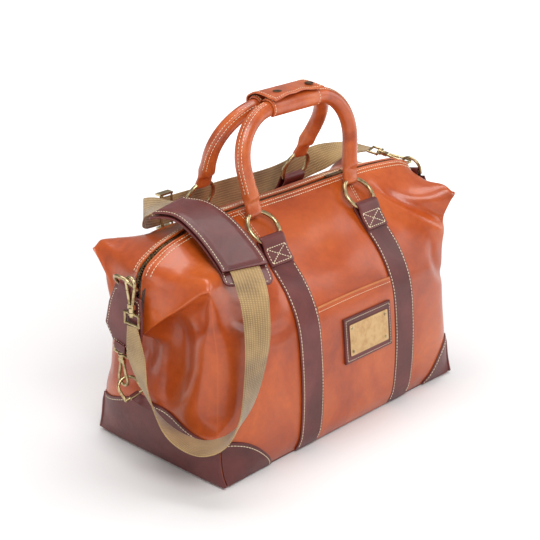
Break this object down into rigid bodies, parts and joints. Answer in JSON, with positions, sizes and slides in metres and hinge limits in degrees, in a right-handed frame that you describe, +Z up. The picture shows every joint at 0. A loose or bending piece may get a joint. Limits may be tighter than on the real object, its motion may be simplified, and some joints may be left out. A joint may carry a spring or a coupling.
{
  "type": "weekender bag",
  "caption": "Soft leather weekender bag with a top zip, rolled handles on rings, a handle wrap, a front pocket and a clip-on padded shoulder strap.",
  "frame": {"origin": "on the floor under the middle point between the two leather straps, half way between front and back, at the underside of the base panel", "axes": "+X towards the right end seen from the front, -Y towards the front pocket, +Z up"},
  "size_m": [0.5202, 0.2661, 0.4162],
  "materials": {
    "tan_leather": "glossy waxed orange-tan full-grain leather",
    "dark_leather": "satin oxblood leather with cream stitching",
    "tan_edge": "light tan leather binding",
    "brass": "pale antique brass, lightly brushed",
    "dark_snap": "dark bronze enamel",
    "webbing": "ribbed khaki cotton webbing",
    "zip_tape": "dark brown woven zip tape",
    "zip_metal": "dull brass zip teeth",
    "lining": "plain brown cotton lining",
    "board": "pressed fibre board",
    "rope": "twisted cotton rope core"
  },
  "bodies": {
    "bag": {"front_panel": "tan_leather", "back_panel": "tan_leather", "left_gusset": "tan_leather", "right_gusset": "tan_leather", "base_panel": "dark_leather", "base_board": "board", "lining": "lining", "left_end_cap": "dark_leather", "right_end_cap": "dark_leather", "front_corner_patches": "dark_leather", "back_corner_patches": "dark_leather", "corner_piping": "dark_leather", "left_strap": "dark_leather", "right_strap": "dark_leather", "front_pocket": "tan_leather", "pocket_binding": "tan_edge", "plate_patch": "dark_leather", "name_plate": "brass", "plate_rivets": "brass", "zip_tapes": "zip_tape", "zip_chain": "zip_metal", "zip_stops": "zip_metal", "left_end_tab": "dark_leather", "right_end_tab": "dark_leather", "base_ring_chapes": "dark_leather", "webbing": "webbing", "pad_base": "dark_leather", "pad_sleeve": "dark_leather"},
    "zip_slider": {"zip_slider": "brass"},
    "zip_pull": {"zip_pull": "brass"},
    "front_rings": {"front_rings": "brass"},
    "back_rings": {"back_rings": "brass"},
    "front_handle": {"front_handle": "tan_leather", "front_core": "rope", "front_wrap": "tan_leather", "snap_studs": "brass"},
    "back_handle": {"back_handle": "tan_leather", "back_core": "rope", "back_wrap": "tan_leather"},
    "wrap_flap": {"wrap_flap": "tan_leather", "snap_caps": "dark_snap"},
    "left_tab_ring": {"left_tab_ring": "brass"},
    "right_tab_ring": {"right_tab_ring": "brass"},
    "left_base_ring": {"left_base_ring": "brass"},
    "right_base_ring": {"right_base_ring": "brass"},
    "tri_glide": {"tri_glide": "brass"},
    "left_strap_eye": {"left_strap_eye": "brass"},
    "left_strap_hook": {"left_strap_hook": "brass"},
    "left_strap_gate": {"left_strap_gate": "brass"},
    "right_strap_eye": {"right_strap_eye": "brass"},
    "right_strap_hook": {"right_strap_hook": "brass"},
    "right_strap_gate": {"right_strap_gate": "brass"},
    "left_clip_eye": {"left_clip_eye": "brass"},
    "left_clip_hook": {"left_clip_hook": "brass"},
    "left_clip_gate": {"left_clip_gate": "brass"},
    "right_clip_eye": {"right_clip_eye": "brass"},
    "right_clip_hook": {"right_clip_hook": "brass"},
    "right_clip_gate": {"right_clip_gate": "brass"}
  },
  "joints": [
    {"name": "zip_slide", "type": "slide", "parent": "bag", "child": "zip_slider", "axis": [1, 0, 0], "range_m": [-0.15, 0.025]},
    {"name": "zip_pull_swing", "type": "hinge", "parent": "zip_slider", "child": "zip_pull", "pos_m": [0.096, 0, 0.28595], "axis": [0, 1, 0], "range_deg": [-4, 110]},
    {"name": "front_handle_swing", "type": "hinge", "parent": "front_rings", "child": "front_handle", "pos_m": [0, -0.02213, 0.28244], "axis": [1, 0, 0], "range_deg": [0, 70]},
    {"name": "front_rings_swing", "type": "hinge", "parent": "bag", "child": "front_rings", "pos_m": [0, -0.05324, 0.25133], "axis": [1, 0, 0], "range_deg": [0, 40]},
    {"name": "back_rings_swing", "type": "hinge", "parent": "bag", "child": "back_rings", "pos_m": [0, 0.07893, 0.2587], "axis": [-1, 0, 0], "range_deg": [0, 30]},
    {"name": "back_handle_swing", "type": "hinge", "parent": "back_rings", "child": "back_handle", "pos_m": [0, 0.06388, 0.30004], "axis": [-1, 0, 0], "range_deg": [0, 50]},
    {"name": "flap_open", "type": "hinge", "parent": "back_handle", "child": "wrap_flap", "pos_m": [0, 0.0296, 0.39875], "axis": [-1, 0, 0], "range_deg": [0, 110]},
    {"name": "left_tab_ring_swing", "type": "hinge", "parent": "bag", "child": "left_tab_ring", "pos_m": [-0.2615, 0.007, 0.231], "axis": [0, 1, 0], "range_deg": [-0.5, 0.5]},
    {"name": "right_tab_ring_swing", "type": "hinge", "parent": "bag", "child": "right_tab_ring", "pos_m": [0.2345, -0.007, 0.257], "axis": [0, 1, 0], "range_deg": [-0.8, 0.8]},
    {"name": "left_base_ring_swing", "type": "hinge", "parent": "bag", "child": "left_base_ring", "pos_m": [-0.2555, 0.0094, 0.0911], "axis": [-0.866, 0.3147, -0.3886], "range_deg": [-0.8, 0.8]},
    {"name": "right_base_ring_swing", "type": "hinge", "parent": "bag", "child": "right_base_ring", "pos_m": [0.2285, -0.0228, 0.108], "axis": [0.866, -0.4891, -0.104], "range_deg": [-0.8, 0.8]},
    {"name": "left_strap_tilt", "type": "hinge", "parent": "bag", "child": "left_strap_eye", "pos_m": [-0.268, -0.0055, 0.19], "axis": [0, 1, 0], "range_deg": [0, 0.5]},
    {"name": "left_strap_swivel", "type": "hinge", "parent": "left_strap_eye", "child": "left_strap_hook", "pos_m": [-0.268, -0.0055, 0.203], "axis": [0, 0, 1], "range_deg": [-3, 3]},
    {"name": "left_strap_gate_open", "type": "hinge", "parent": "left_strap_hook", "child": "left_strap_gate", "pos_m": [-0.268, -0.0029, 0.212], "axis": [1, 0, 0], "range_deg": [0, 14]},
    {"name": "right_strap_tilt", "type": "hinge", "parent": "bag", "child": "right_strap_eye", "pos_m": [0.214, 0.0487, 0.2797], "axis": [0.9373, 0.3486, 0], "range_deg": [-0.8, 0.6]},
    {"name": "right_strap_swivel", "type": "hinge", "parent": "right_strap_eye", "child": "right_strap_hook", "pos_m": [0.21844, 0.03675, 0.27715], "axis": [0.3418, -0.9191, -0.1959], "range_deg": [-4, 4]},
    {"name": "right_strap_gate_open", "type": "hinge", "parent": "right_strap_hook", "child": "right_strap_gate", "pos_m": [0.22396, 0.02939, 0.27539], "axis": [-0.0683, 0.1837, -0.9806], "range_deg": [0, 14]},
    {"name": "left_clip_tilt", "type": "hinge", "parent": "bag", "child": "left_clip_eye", "pos_m": [-0.2615, 0.02301, 0.14868], "axis": [0, 0.9914, 0.1305], "range_deg": [-0.8, 0.8]},
    {"name": "left_clip_swivel", "type": "hinge", "parent": "left_clip_eye", "child": "left_clip_hook", "pos_m": [-0.26041, 0.02402, 0.14103], "axis": [0.1392, 0.1293, -0.9818], "range_deg": [-4, 4]},
    {"name": "left_clip_gate_open", "type": "hinge", "parent": "left_clip_hook", "child": "left_clip_gate", "pos_m": [-0.25916, 0.02776, 0.13253], "axis": [-0.9903, 0.0182, -0.138], "range_deg": [0, 14]},
    {"name": "right_clip_tilt", "type": "hinge", "parent": "bag", "child": "right_clip_eye", "pos_m": [0.2345, -0.02301, 0.17468], "axis": [0, -0.9914, 0.1305], "range_deg": [-0.8, 0.8]},
    {"name": "right_clip_swivel", "type": "hinge", "parent": "right_clip_eye", "child": "right_clip_hook", "pos_m": [0.23341, -0.02402, 0.16703], "axis": [-0.1392, -0.1293, -0.9818], "range_deg": [-4, 4]},
    {"name": "right_clip_gate_open", "type": "hinge", "parent": "right_clip_hook", "child": "right_clip_gate", "pos_m": [0.23216, -0.02776, 0.15853], "axis": [0.9903, -0.0182, -0.138], "range_deg": [0, 14]},
    {"name": "glide_slide", "type": "slide", "parent": "bag", "child": "tri_glide", "axis": [1, 0, 0], "range_m": [0, 0.03]}
  ],
  "couplings": [
    {"joint": "front_rings_swing", "follows": "front_handle_swing", "ratio": 0.5}
  ]
}
